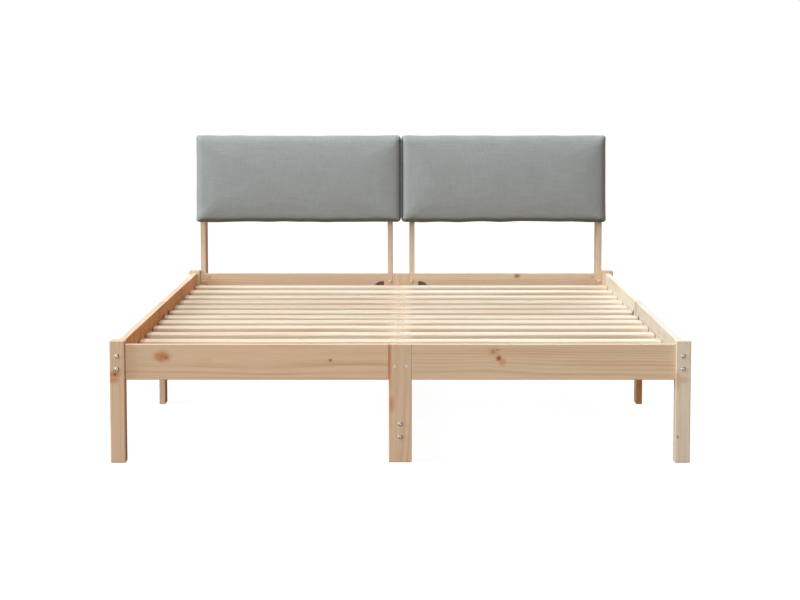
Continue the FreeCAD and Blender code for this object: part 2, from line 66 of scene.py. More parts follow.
# Knots and resin marks of the boards that show them: centre in the shared frame, half length along
# the grain, half width across it, strength of the red halo and of the dark heart
KNOTS = {
    "foot_left_rail": [
        ((-0.5985, 0, 0.2690), 0.0125, 0.0080, 1.00, 0.12),
        ((-0.5890, 0, 0.2665), 0.0040, 0.0034, 0.50, 0.70),
        ((-0.1760, 0, 0.2600), 0.0030, 0.0025, 0.70, 0.85),
        ((-0.4900, 0, 0.2580), 0.0120, 0.0060, 0.14, 0.00),
    ],
    "foot_right_rail": [
        ((0.2335, 0, 0.2815), 0.0070, 0.0060, 0.50, 0.32),
        ((0.2440, 0, 0.2850), 0.0055, 0.0028, 0.45, 0.30),
        ((0.2475, 0, 0.2645), 0.0048, 0.0050, 1.00, 0.90),
        ((0.2570, 0, 0.2560), 0.0055, 0.0060, 0.60, 0.00),
    ],
    "foot_left_post": [
        ((-0.7165, 0, 0.2265), 0.0060, 0.0090, 1.00, 0.00),
        ((-0.7160, 0, 0.2255), 0.0034, 0.0044, 1.00, 1.00),
        ((-0.7205, 0, 0.2115), 0.0055, 0.0085, 0.75, 0.00),
    ],
    "foot_right_post": [
        ((0.6960, 0, 0.2100), 0.0130, 0.0050, 0.42, 0.00),
        ((0.7085, 0, 0.2110), 0.0045, 0.0090, 0.38, 0.00),
        ((0.6995, 0, 0.0665), 0.0030, 0.0020, 0.50, 0.80),
    ],
    "foot_centre_leg": [
        ((-0.0240, 0, 0.1495), 0.0130, 0.0060, 0.60, 0.12),
        ((-0.0285, 0, 0.2600), 0.0420, 0.0034, 1.00, 0.15),
        ((-0.0080, 0, 0.2450), 0.0600, 0.0050, 0.18, 0.00),
    ],
    "head_right_rail": [
        ((0.3995, 0, 0.2915), 0.0075, 0.0050, 0.80, 0.70),
        ((0.6450, 0, 0.2650), 0.0240, 0.0160, 0.26, 0.00),
        ((0.6740, 0, 0.2700), 0.0060, 0.0060, 0.40, 0.10),
    ],
    "head_left_rail": [
        ((-0.6715, 0, 0.2620), 0.0060, 0.0040, 0.45, 0.35),
        ((-0.3500, 0, 0.2750), 0.2200, 0.0600, 0.08, 0.00),
    ],
    "right_foot_side_rail": [((0, -0.41, 0.222), 0.009, 0.006, 0.5, 0.4)],
    "right_head_side_rail": [((0, 0.33, 0.228), 0.008, 0.005, 0.6, 0.5)],
    "right_middle_leg": [((0, -0.010, 0.272), 0.022, 0.011, 0.7, 0.25)],
    "left_foot_side_rail": [((0, -0.62, 0.251), 0.011, 0.007, 0.7, 0.5)],
    "left_head_side_rail": [((0, 0.42, 0.270), 0.009, 0.006, 0.5, 0.4)],
    "left_outer_upright": [((0, 1.020, 0.430), 0.011, 0.007, 0.7, 0.6)],
    "right_outer_upright": [((0, 1.035, 0.360), 0.009, 0.006, 0.6, 0.5)],
    "left_inner_upright": [((0, 1.010, 0.330), 0.008, 0.005, 0.5, 0.4)],
    "right_inner_upright": [((0, 1.040, 0.510), 0.010, 0.006, 0.7, 0.6)],
    "left_back_board": [((-0.31, 0, 0.620), 0.013, 0.009, 0.8, 0.7)],
    "right_back_board": [
        ((0.22, 0, 0.660), 0.012, 0.008, 0.7, 0.6),
        ((0.55, 0, 0.580), 0.008, 0.006, 0.5, 0.5),
    ],
    "slat_pair_04": [((0.41, 0.380, 0), 0.007, 0.005, 0.35, 0.3)],
    "slat_pair_07": [((-0.52, -0.085, 0), 0.008, 0.005, 0.4, 0.3)],
    "slat_pair_11": [((-0.27, -0.660, 0), 0.006, 0.004, 0.35, 0.3)],
}
# Boards that differ from the rest: how pale and how red they are, and how light. The other boards
# draw the first two.
TONES = {
    "foot_right_post": (1.45, 0.0, 1.01),
    "foot_left_post": (0.1, 0.35, 1.0),
    "foot_left_rail": (0.04, 0.1, 0.98),
    "foot_right_rail": (0.18, 0.0, 1.0),
    "foot_centre_leg": (0.14, 0.0, 0.99),
    "head_right_rail": (0.32, 0.0, 1.0),
    "head_left_rail": (0.0, 0.1, 1.0),
    "head_centre_leg": (0.1, 0.05, 1.0),
    "left_foot_side_rail": (0.5, 0.0, 1.0),
    "left_head_side_rail": (0.5, 0.0, 1.12),
    "right_foot_side_rail": (1.5, 0.0, 0.84),
    "right_head_side_rail": (1.7, 0.0, 1.02),
    "left_outer_upright": (1.0, 0.0, 0.92),
    "right_outer_upright": (0.95, 0.0, 1.0),
    "left_inner_upright": (0.7, 0.0, 1.0),
    "right_inner_upright": (0.7, 0.0, 1.0),
    "left_middle_leg": (0.1, 0.4, 1.0),
    "right_middle_leg": (1.4, 0.0, 0.82),
}
PALE_DRAW = (0.1, 0.4)
RED_DRAW = (0.0, 0.25)
# Boards with one face, right or front, that lies in shade: painted warm shade makes it redder and
# darker, by so much
RIGHT, FRONT = (1, 0, 0), (0, -1, 0)
SHADED_FACES = {
    "left_foot_side_rail": (RIGHT, 1.0),
    "left_head_side_rail": (RIGHT, 0.8),
    "left_middle_leg": (RIGHT, 0.6),
    "right_middle_leg": (FRONT, 0.78),
    "foot_left_post": (RIGHT, 0.4),
    "left_outer_upright": (RIGHT, 0.5),
}

# Pine: its colours
EARLY_WOOD = colour(0.776, 0.582, 0.398)
LATE_WOOD = colour(0.560, 0.345, 0.186)
PALE_WOOD = colour(0.800, 0.690, 0.545)
RED_WOOD = colour(0.690, 0.430, 0.245)
PINK_WOOD = colour(0.665, 0.500, 0.385)
SLAT_WOOD = colour(0.785, 0.730, 0.585)
OTHER_SLAT = colour(0.805, 0.700, 0.560)
# Painted shade on the slats' left ends, where the left rail shades them
SLAT_END_SHADE = colour(0.340, 0.200, 0.100)
# Painted shade in the hollows cut into a board, such as pockets
HOLLOW_SHADE = colour(0.055, 0.016, 0.004)
# Painted warm shade on faces that lie in shade: such a face is multiplied by these tints, the lighter
# and the deeper
FACE_SHADE_TINT = colour(1.000, 0.500, 0.120)
DEEP_FACE_SHADE = colour(0.800, 0.340, 0.070)
KNOT_HALO = colour(0.550, 0.200, 0.065)
KNOT_HEART = colour(0.170, 0.040, 0.014)
# How far early and late wood take on a board's paleness and its redness
EARLY_SHARES = (1.0, 0.55)
LATE_SHARES = (0.45, 0.3)
# Waves of its patterns across the grain and along it. Each board draws where it starts in them, and
# the right slat of a pair lies some waves beside the left one.
SLOW_WAVES = (9.0, 1.6)
STREAK_WAVES = (70.0, 2.2)
FIBRE_WAVES = (900.0, 22.0)
START_DRAW = (0, 50)
SLAT_OFFSET = 7.0
# Growth rings: how far they wander in the two directions across the grain, how far off the pith is
# and how it leans, and the width of a ring with the grey stops across it
RING_WANDER = 0.020
RING_DRIFT, DRIFT_SCALE = 0.014, 1.7
PITH_DRAW = (0.050, 0.110)
LEAN_DRAW = (-0.016, 0.016)
RING_DRAW = (0.0050, 0.0085)
RING_STOPS = ((0.0, 0.12), (0.35, 0.05), (0.86, 1.0), (1.0, 0.1))
# Knots, in radii from the centre: where the halo, the heart and the bulge of the rings begin and are
# full. The halo is rippled, and its edge is frayed.
HALO_EDGES, HALO_STRENGTH = (2.5, 0.7), 0.95
HEART_EDGES, HEART_STRENGTH = (1.15, 0.35), 0.90
BULGE_EDGES, BULGE_SHARE = (4.0, 0.0), 1.6
RIPPLE_TURN, RIPPLE_DEPTH = 7.0, 0.14
FRAY_WAVES, FRAY_SPAN = 300.0, 1.5
KNOT_WANDER_SHARE = 0.12
# Steps from the patterns to the colours
RING_STEP = (0.25, 0.8, 0.20, 0.95)
STREAK_STEP = (0.42, 0.78, 0.0, 0.34)
PINK_SCALE, PINK_STEP = 0.9, (0.42, 0.68, 0.0, 0.55)
FIBRE_EDGES, FIBRE_LIGHTS = (0.2, 0.8), (0.93, 1.06)
# Painted shade on faces that lie in shade: how far a face turns to the shaded side, and the bands of
# the shade
SHADED_FACE_EDGES = (0.4, 0.9)
SHADE_BAND_WAVES, SHADE_BAND_STEP = (0.0, 17.0, 9.0), (0.30, 0.70)
OTHER_SLAT_DRAW = (0.05, 0.35)
# Painted shade on the slats' left ends: how far from the end it begins and where it is full, and how
# strong it is
SLAT_END_SHADE_EDGES, SLAT_END_SHADE_STRENGTH = (0.020, 0.002), 0.6
# Painted shade in cut hollows: how deep inside a board's box it begins and where it is full
HOLLOW_SHADE_STEP = (0.0016, 0.0034)
# Surface: roughness, height of the late wood against the fibres, and strength and depth of the bump
WOOD_ROUGHNESS = (0.2, 0.8, 0.50, 0.64)
LATE_RELIEF = 0.35
WOOD_BUMP = (0.16, 0.0004)
WOOD_SPECULAR = 0.35

# Plywood
PLY_LIGHT = colour(0.62, 0.47, 0.31)
PLY_DARK = colour(0.47, 0.32, 0.19)
PLY_PORE = colour(0.26, 0.16, 0.09)
PLY_LAYER = colour(0.33, 0.21, 0.12)
FIGURE_WAVES, FIGURE_STEP = (2.5, 40.0, 24.0), (0.3, 0.7)
PORE_WAVES, PORE_STEP = (60.0, 900.0, 900.0), (0.62, 0.8, 0.0, 0.35)
LAYER_WAVES, LAYER_STEP = (0.0, 450.0, 0.0), (0.5, 0.6, 0.0, 0.2)
PLY_ROUGHNESS = (0.2, 0.8, 0.6, 0.75)
PLY_BUMP = (0.15, 0.0003)

# Steel: the colours of its bright and its dull patches, and the most that it is rough
PLATED_STEEL = (colour(0.80, 0.80, 0.79), colour(0.64, 0.64, 0.65), 0.52)
DULL_ZINC = (colour(0.84, 0.81, 0.77), colour(0.58, 0.54, 0.50), 0.66)
# Dark steel of the slat screws: partly their own dark finish, partly painted shade on their heads
DARK_SCREW_STEEL = (colour(0.20, 0.17, 0.14), colour(0.11, 0.09, 0.08), 0.70)
# Painted dark reflection on the rims of heads and nuts, where their surface turns away from square on
STEEL_RIM_REFLECTION = colour(0.13, 0.12, 0.12)
STEEL_STAIN = colour(0.560, 0.430, 0.310)
DULL_WAVES, DULL_STEP = 240.0, (0.35, 0.7)
MARK_WAVES, MARK_EDGES = (2600.0, 2600.0, 2600.0), (0.2, 0.8)
GLOSS_SPAN = 0.18
RIM_REFLECTION_STEP = (0.95, 0.78, 0.0, 0.62)
STAIN_STEP = (0.2, 0.9, 0.0, 0.85)
STEEL_BUMP = (0.08, 0.0001)

# Paint of the bolt heads
PAINT_LIGHT = colour(0.76, 0.60, 0.47)
PAINT_DARK = colour(0.68, 0.52, 0.40)
PAINT_WORN = colour(0.50, 0.42, 0.36)
SPOT_WAVES, SPOT_STEP = 900.0, (0.3, 0.7)
WEAR_WAVES, WEAR_STEP = 260.0, (0.62, 0.75, 0.0, 0.5)
PAINT_ROUGHNESS = (0.2, 0.8, 0.40, 0.60)
PAINT_BUMP = (0.1, 0.0002)

# Linen: painted shade darkens its underside, and the ends of the cushions beside the joint at x = 0
YARN_DARK = colour(0.298, 0.330, 0.336)
YARN_LIGHT = colour(0.414, 0.450, 0.458)
LINEN_CLOUD = colour(0.322, 0.352, 0.336)
LINEN_SHADE = colour(0.060, 0.058, 0.050)
YARN_PITCH = 0.0013
SWAY_WAVES, YARN_SLIP = 60.0, 0.0012
WEAVE_SIDE_STEP = (0.5, 0.8)
WEFT_WAVES, WARP_WAVES = (14.0, 300.0, 520.0), (520.0, 300.0, 14.0)
SLUB_STEP = (0.3, 0.75)
CLOUD_WAVES, CLOUD_STEP = 16.0, (0.35, 0.7, 0.0, 0.25)
# Painted shade on the underside, and on the cushions' ends beside the joint
UNDER_SHADE_STEP = (-0.30, -0.85, 0.0, 0.75)
JOINT_SHADE_STEP = (0.009, 0.004)
JOINT_SHADE_SIDE_STEP = (0.60, 0.95, 0.0, 0.90)
WEAVE_STEP = (-0.9, 0.6, 0.80, 1.05)
LINEN_ROUGHNESS = (0.4, 1.6, 0.86, 0.96)
SLUB_RELIEF = 0.6
LINEN_BUMP = (0.35, 0.0006)
LINEN_SHEEN, SHEEN_ROUGHNESS = 0.25, 0.45
LINEN_SPECULAR = 0.2

# Cushions: size of the mesh's cells, share of the depth that is held at the back, steps of the
# simulation, and how far a cushion swells
CELL = 0.005
HELD_SHARE = 0.22
AIR_STEPS = 20
SWELL = 0.004
COVER_SEED = 7.3
# The cover stands out from its solid by this much, less what the subdivision takes back, and by less
# on the side where the two cushions meet
PROUD = 0.0013
PROUD_INSIDE = 0.0004
# The face is bowed from top to bottom, evenly but for its ends, and is fuller beside the rolled rim
CROWN, CROWN_RISE = 0.006, 25
END_ROLL, TOP_ROLL = 0.0060, 0.0025
ROLL_START = 0.002
ROLL_FULL = 0.014
ROLL_FADE = 0.018
# Forms of the rim: the share of the half width or half height from which each one grows towards the
# edge, and how far it goes there. Those that are irregular also have their waves.
FLARE_SHARE, FLARE = 0.90, 0.0020
CORNER_SHARES, CORNER = (0.96, 0.90), 0.0034
FILL_SHARES, INSIDE_FILL = (0.94, 0.80), 0.00105
TOP_SHARE, TOP_DIP, TOP_WAVES, TOP_SLICE = 0.80, 0.0034, 14, 3.7
UNDER_SHARE, UNDER_DIP, UNDER_WAVES, UNDER_SLICE = 0.85, 0.0034, 12, 8.1
END_SHARE, END_DIP, END_WAVES = 0.93, 0.0009, 18
STEADY_SHARE = 0.90
PUCKER_SHARE, PUCKER, PUCKER_WAVES = 0.70, 0.0009, (32, 9)
DENT, DENT_WAVES = 0.0008, 10

# Studio. The lamps are a little cool and what fills the shadows is warm, as between boards of pine.
# Soft boxes: place, width and height, and power in watts. All point at one spot.
LAMPS = {
    "top": ((-1.2, -0.6, 7.0), (5.0, 5.0), 440),
    "left": ((-8.0, -2.2, 3.2), (4.0, 3.0), 560),
    "front": ((-1.0, -9.5, 3.0), (5.0, 3.0), 300),
    "back": ((1.5, 8.0, 4.0), (5.0, 3.0), 320),
}
LAMP_TARGET = (0, 0, 0.3)
COOL_LIGHT = (0.86, 0.94, 1.0)
WARM_FILL = colour(0.24, 0.150, 0.080)
WARM_FLOOR = colour(0.33, 0.26, 0.19)
SEEN_FLOOR = colour(0.10, 0.10, 0.10)
WHITE = colour(1, 1, 1)
FLOOR_HALF = 60
FLOOR_DROP = 0.0005
FLOOR_GLOW = (2.0, 5.0, 0.93, 1.0)
FLOOR_ROUGHNESS = 0.95

# Camera: sensor and lens in millimetres, shift in picture widths, tilt in degrees below level
SENSOR = 36
LENS = 96.904
SHIFT = -0.004
EYE = (0.0074, -6.4297, 0.9530)
LOOK_DOWN = 5.751
VIEW_END = 200


class Graph:
    """A new material and its nodes, with one short call for each kind of node."""

    def __init__(self, name):
        self.material = bpy.data.materials.new(name)
        self.material.use_nodes = True
        self.tree = self.material.node_tree
        self.tree.nodes.clear()
        self.shader = self.tree.nodes.new("ShaderNodeBsdfPrincipled")
        output = self.tree.nodes.new("ShaderNodeOutputMaterial")
        self.tree.links.new(self.shader.outputs["BSDF"], output.inputs["Surface"])

    def feed(self, socket, value):
        """Links a socket to another, or gives it a plain value."""
        if isinstance(value, bpy.types.NodeSocket):
            self.tree.links.new(value, socket)
        else:
            socket.default_value = value

    def add(self, kind, inputs, out=0, **settings):
        """A node with its settings and its inputs, and one of its outputs, by name or number."""
        node = self.tree.nodes.new(f"ShaderNode{kind}")
        for name, value in settings.items():
            setattr(node, name, value)
        for key, value in inputs.items():
            self.feed(node.inputs[key], value)
        return node.outputs[out]

    def set(self, **inputs):
        """Feeds the shader: underscores stand for the spaces in its socket names."""
        for name, value in inputs.items():
            self.feed(self.shader.inputs[name.replace("_", " ")], value)

    def place(self):
        """The point in the object's own frame."""
        return self.add("TexCoord", {}, out="Object")

    def facing(self):
        """The direction of the surface in the object's own frame."""
        return self.add("TexCoord", {}, out="Normal")

    def math(self, operation, *values):
        """Arithmetic on numbers."""
        return self.add("Math", dict(enumerate(values)), operation=operation)

    def vector(self, operation, *values, out="Vector"):
        """Arithmetic on vectors."""
        return self.add("VectorMath", dict(enumerate(values)), out=out, operation=operation)

    def split(self, vector):
        """The three parts of a vector."""
        node = self.tree.nodes.new("ShaderNodeSeparateXYZ")
        self.feed(node.inputs[0], vector)
        return tuple(node.outputs)

    def join(self, *parts):
        """A vector from three parts."""
        return self.add("CombineXYZ", dict(enumerate(parts)))

    def grey(self, level):
        """A vector with three equal parts."""
        return self.join(level, level, level)

    def noise(self, vector, scale=1.0, detail=2.0, rough=0.5):
        """Smooth noise, from 0 to 1."""
        inputs = {"Vector": vector, "Scale": scale, "Detail": detail, "Roughness": rough}
        return self.add("TexNoise", inputs)

    def drawn_noise(self, vector, waves, **texture):
        """Smooth noise, drawn out by its waves in x, y and z."""
        return self.noise(self.vector("MULTIPLY", vector, waves), **texture)

    def spread(self, pattern, span):
        """A pattern from 0 to 1, spread over a span about zero."""
        return self.math("MULTIPLY_ADD", pattern, span, -span / 2)

    def smooth(self, value, low, high, start=0.0, end=1.0):
        """A soft step from start at low to end at high."""
        inputs = {"Value": value, "From Min": low, "From Max": high, "To Min": start, "To Max": end}
        return self.add("MapRange", inputs, interpolation_type="SMOOTHSTEP")

    def ramp(self, factor, stops):
        """Grey stops along a factor."""
        node = self.tree.nodes.new("ShaderNodeValToRGB")
        elements = node.color_ramp.elements
        while len(elements) < len(stops):
            elements.new(0.5)
        for element, (place, level) in zip(elements, stops):
            element.position = place
            element.color = colour(level, level, level)
        self.feed(node.inputs[0], factor)
        return node.outputs[0]

    def mix(self, factor, first, second, blend="MIX"):
        """Two colours, mixed. The node has sockets for numbers and vectors before those for colours."""
        node = self.tree.nodes.new("ShaderNodeMix")
        node.data_type = "RGBA"
        node.blend_type = blend
        for index, value in ((0, factor), (6, first), (7, second)):
            self.feed(node.inputs[index], value)
        return node.outputs[2]

    def bump(self, height, strength, distance):
        """A normal that follows a height."""
        inputs = {"Height": height, "Strength": strength, "Distance": distance}
        return self.add("Bump", inputs)


class Board:
    """A board in a graph: its box, and its point in directions across the grain and along it."""

    def __init__(self, graph, node):
        low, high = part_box(node)
        size = high - low
        self.graph = graph
        self.low, self.high, self.middle = low, high, (low + high) / 2
        self.long = max(range(3), key=lambda axis: size[axis])
        self.thin = min(range(3), key=lambda axis: size[axis])
        self.cross = [axis for axis in range(3) if axis != self.long]
        self.place = graph.place()
        self.parts = graph.split(self.place)
        self.across, self.over = (self.parts[axis] for axis in self.cross)
        self.grain = self.parts[self.long]

    def pattern(self, waves, start=0.0, beside=0.0):
        """The point in a pattern with its waves across the grain and along it."""
        wide, long = waves
        return self.graph.join(
            self.graph.math("MULTIPLY_ADD", self.across, wide, beside),
            self.graph.math("MULTIPLY", self.over, wide),
            self.graph.math("MULTIPLY_ADD", self.grain, long, start),
        )


def shade(first, second, share):
    """A colour between two others, or past the second."""
    return colour(*(a + (b - a) * share for a, b in zip(first[:3], second[:3])))


def toned(wood, pale, red, shares):
    """A colour of wood that takes on its shares of a board's paleness and redness."""
    pale_share, red_share = shares
    return shade(shade(wood, PALE_WOOD, pale * pale_share), RED_WOOD, red * red_share)


def knot_marks(board, knots, wander):
    """The halo and the heart of a board's knots, and how far they push its rings outwards."""
    graph = board.graph
    halo = heart = bulge = 0.0
    frayed = graph.spread(graph.noise(board.place, FRAY_WAVES, detail=3.0, rough=0.6), FRAY_SPAN)
    for centre, length, width, red_part, dark_part in knots:
        squares = []
        for axis, part in enumerate(board.parts):
            if axis == board.thin:
                continue
            reach = length if axis == board.long else width
            offset = graph.math("SUBTRACT", part, centre[axis])
            ragged = graph.math("MULTIPLY_ADD", wander, KNOT_WANDER_SHARE, offset)
            squares.append(graph.math("POWER", graph.math("DIVIDE", ragged, reach), 2.0))
        far = graph.math("ADD", graph.math("SQRT", graph.math("ADD", *squares)), frayed)
        turned = graph.math("SINE", graph.math("MULTIPLY", far, RIPPLE_TURN))
        ripple = graph.math("MULTIPLY_ADD", turned, RIPPLE_DEPTH, 1 - RIPPLE_DEPTH)
        red = graph.smooth(far, *HALO_EDGES, 0.0, HALO_STRENGTH * red_part)
        dark = graph.smooth(far, *HEART_EDGES, 0.0, HEART_STRENGTH * dark_part)
        pushed = graph.smooth(far, *BULGE_EDGES, 0.0, width * BULGE_SHARE * dark_part)
        halo = graph.math("MAXIMUM", halo, graph.math("MULTIPLY", ripple, red))
        heart = graph.math("MAXIMUM", heart, dark)
        bulge = graph.math("ADD", bulge, pushed)
    return halo, heart, bulge


def growth_rings(board, seed, wander, drift, bulge):
    """How much of a point is late wood, in rings round a pith beside the board."""
    graph = board.graph
    turn = seed.uniform(0, 2 * math.pi)
    away = seed.uniform(*PITH_DRAW)
    lean = seed.uniform(*LEAN_DRAW)
    first, second = board.cross
    pith_across = board.middle[first] + math.cos(turn) * away
    pith_over = board.middle[second] + math.sin(turn) * away
    from_across = graph.math("ADD", graph.math("SUBTRACT", board.across, pith_across), wander)
    from_over = graph.math("ADD", graph.math("SUBTRACT", board.over, pith_over), drift)
    from_middle = graph.math("SUBTRACT", board.grain, board.middle[board.long])
    from_over = graph.math("MULTIPLY_ADD", from_middle, lean, from_over)
    radius = graph.vector("LENGTH", graph.join(from_across, from_over, 0.0), out="Value")
    radius = graph.math("ADD", radius, bulge)
    ring = graph.math("FRACT", graph.math("DIVIDE", radius, seed.uniform(*RING_DRAW)))
    return graph.ramp(ring, RING_STOPS)


def painted_face_shade(board, wood, face, redness):
    """Painted shade: wood that is redder and darker, in bands, on the face of a board that lies in
    shade.
    """
    graph = board.graph
    facing = graph.vector("DOT_PRODUCT", graph.facing(), face, out="Value")
    bands = graph.drawn_noise(board.place, SHADE_BAND_WAVES)
    tint = graph.mix(graph.smooth(bands, *SHADE_BAND_STEP), FACE_SHADE_TINT, DEEP_FACE_SHADE)
    return graph.mix(graph.smooth(facing, *SHADED_FACE_EDGES, 0.0, redness), wood, tint, "MULTIPLY")


def hollows(board):
    """Where a board is cut: the points that lie deep inside its own box, which get painted shade."""
    graph = board.graph
    deep = 1.0
    for part, start, stop in zip(board.parts, board.low, board.high):
        from_middle = graph.math("ABSOLUTE", graph.math("SUBTRACT", part, (start + stop) / 2))
        inside = graph.math("SUBTRACT", (stop - start) / 2, from_middle)
        deep = graph.math("MINIMUM", deep, inside)
    return graph.smooth(deep, *HOLLOW_SHADE_STEP)


def pine(node):
    """Pine with growth rings, fibres along the board and its knots, with painted shade on faces that
    lie in shade, on the slats' left ends beside the rail and in cut hollows.
    """
    name = f"pine_{node}"
    seed = random.Random(name)
    graph = Graph(name)
    board = Board(graph, node)
    knots = KNOTS.get(node)
    slat = node.startswith("slat")
    right_slat = graph.math("GREATER_THAN", board.parts[0], 0.0) if slat else 0.0

    beside = graph.math("MULTIPLY", right_slat, SLAT_OFFSET)
    slow = board.pattern(SLOW_WAVES, seed.uniform(*START_DRAW), beside)
    wander = graph.spread(graph.noise(slow), RING_WANDER)
    drift = graph.spread(graph.noise(slow, DRIFT_SCALE, detail=1.0), RING_DRIFT)
    halo, heart, bulge = knot_marks(board, knots, wander) if knots else (0.0, 0.0, 0.0)
    late = growth_rings(board, seed, wander, drift, bulge)
    fibre = graph.noise(board.pattern(FIBRE_WAVES), detail=3.0, rough=0.6)
    streak_place = board.pattern(STREAK_WAVES, seed.uniform(*START_DRAW))
    streak = graph.noise(streak_place, detail=3.0, rough=0.55)

    drawn = (seed.uniform(*PALE_DRAW), seed.uniform(*RED_DRAW), 1.0)
    pale, red, light = TONES.get(node, drawn)
    early_wood = toned(SLAT_WOOD if slat else EARLY_WOOD, pale, red, EARLY_SHARES)
    late_wood = toned(LATE_WOOD, pale, red, LATE_SHARES)
    lateness = graph.math("MULTIPLY", late, graph.smooth(streak, *RING_STEP))
    wood = graph.mix(lateness, early_wood, late_wood)
    wood = graph.mix(graph.smooth(streak, *STREAK_STEP), wood, RED_WOOD)
    wood = graph.mix(graph.smooth(graph.noise(slow, PINK_SCALE), *PINK_STEP), wood, PINK_WOOD)
    lights = graph.smooth(fibre, *FIBRE_EDGES, *(light * level for level in FIBRE_LIGHTS))
    wood = graph.mix(1.0, wood, graph.grey(lights), "MULTIPLY")
    # Painted shade, redder and darker, on the face that lies in shade
    if node in SHADED_FACES:
        wood = painted_face_shade(board, wood, *SHADED_FACES[node])
    if slat:
        other = graph.math("MULTIPLY", right_slat, seed.uniform(*OTHER_SLAT_DRAW))
        wood = graph.mix(other, wood, OTHER_SLAT)
        # Painted shade on each slat's left end, where the left rail shades it
        end_shade_edges = (board.low.x + edge for edge in SLAT_END_SHADE_EDGES)
        end_shade = graph.smooth(board.parts[0], *end_shade_edges, 0.0, SLAT_END_SHADE_STRENGTH)
        wood = graph.mix(end_shade, wood, SLAT_END_SHADE)
    if knots:
        wood = graph.mix(halo, wood, KNOT_HALO)
        wood = graph.mix(heart, wood, KNOT_HEART)
    # Painted shade in cut hollows
    wood = graph.mix(hollows(board), wood, HOLLOW_SHADE)
    relief = graph.math("MULTIPLY_ADD", late, LATE_RELIEF, fibre)
    graph.set(
        Base_Color=wood, Roughness=graph.smooth(fibre, *WOOD_ROUGHNESS),
        Normal=graph.bump(relief, *WOOD_BUMP), Specular_IOR_Level=WOOD_SPECULAR,
    )
    return graph.material


def plywood(name):
    """The plain face of a plywood panel: wide soft figure with short dark pores, and its layers."""
    graph = Graph(name)
    place = graph.place()
    figure = graph.drawn_noise(place, FIGURE_WAVES, detail=4.0, rough=0.6)
    pores = graph.drawn_noise(place, PORE_WAVES)
    layers = graph.drawn_noise(place, LAYER_WAVES, detail=0.0)
    face = graph.mix(graph.smooth(figure, *FIGURE_STEP), PLY_LIGHT, PLY_DARK)
    face = graph.mix(graph.smooth(pores, *PORE_STEP), face, PLY_PORE)
    face = graph.mix(graph.smooth(layers, *LAYER_STEP), face, PLY_LAYER)
    graph.set(
        Base_Color=face, Roughness=graph.smooth(figure, *PLY_ROUGHNESS),
        Normal=graph.bump(pores, *PLY_BUMP),
    )
    return graph.material


def steel(name, finish, stain=None):
    """Steel with fine turning marks, dull patches and a painted dark reflection on its rims, perhaps
    stained towards the head.
    """
    bright, dull, roughest = finish
    graph = Graph(name)
    place = graph.place()
    marks = graph.drawn_noise(place, MARK_WAVES, detail=3.0, rough=0.65)
    patches = graph.noise(place, DULL_WAVES, detail=3.0, rough=0.6)
    metal = graph.mix(graph.smooth(patches, *DULL_STEP), bright, dull)
    # Painted dark reflection on the rims, where the surface turns away from square on
    x, y, z = graph.split(graph.vector("ABSOLUTE", graph.facing()))
    square_on = graph.math("MAXIMUM", graph.math("MAXIMUM", x, y), z)
    metal = graph.mix(graph.smooth(square_on, *RIM_REFLECTION_STEP), metal, STEEL_RIM_REFLECTION)
    if stain:
        metal = graph.mix(graph.smooth(graph.split(place)[1], *STAIN_STEP), metal, stain)
    graph.set(
        Base_Color=metal, Metallic=1.0,
        Roughness=graph.smooth(marks, *MARK_EDGES, roughest - GLOSS_SPAN, roughest),
        Normal=graph.bump(marks, *STEEL_BUMP),
    )
    return graph.material


def painted(name):
    """Beige paint on bolt heads, with dull spots and slightly worn patches."""
    graph = Graph(name)
    place = graph.place()
    spots = graph.noise(place, SPOT_WAVES, detail=3.0, rough=0.6)
    wear = graph.noise(place, WEAR_WAVES)
    paint = graph.mix(graph.smooth(spots, *SPOT_STEP), PAINT_LIGHT, PAINT_DARK)
    paint = graph.mix(graph.smooth(wear, *WEAR_STEP), paint, PAINT_WORN)
    graph.set(
        Base_Color=paint, Roughness=graph.smooth(spots, *PAINT_ROUGHNESS),
        Normal=graph.bump(spots, *PAINT_BUMP),
    )
    return graph.material


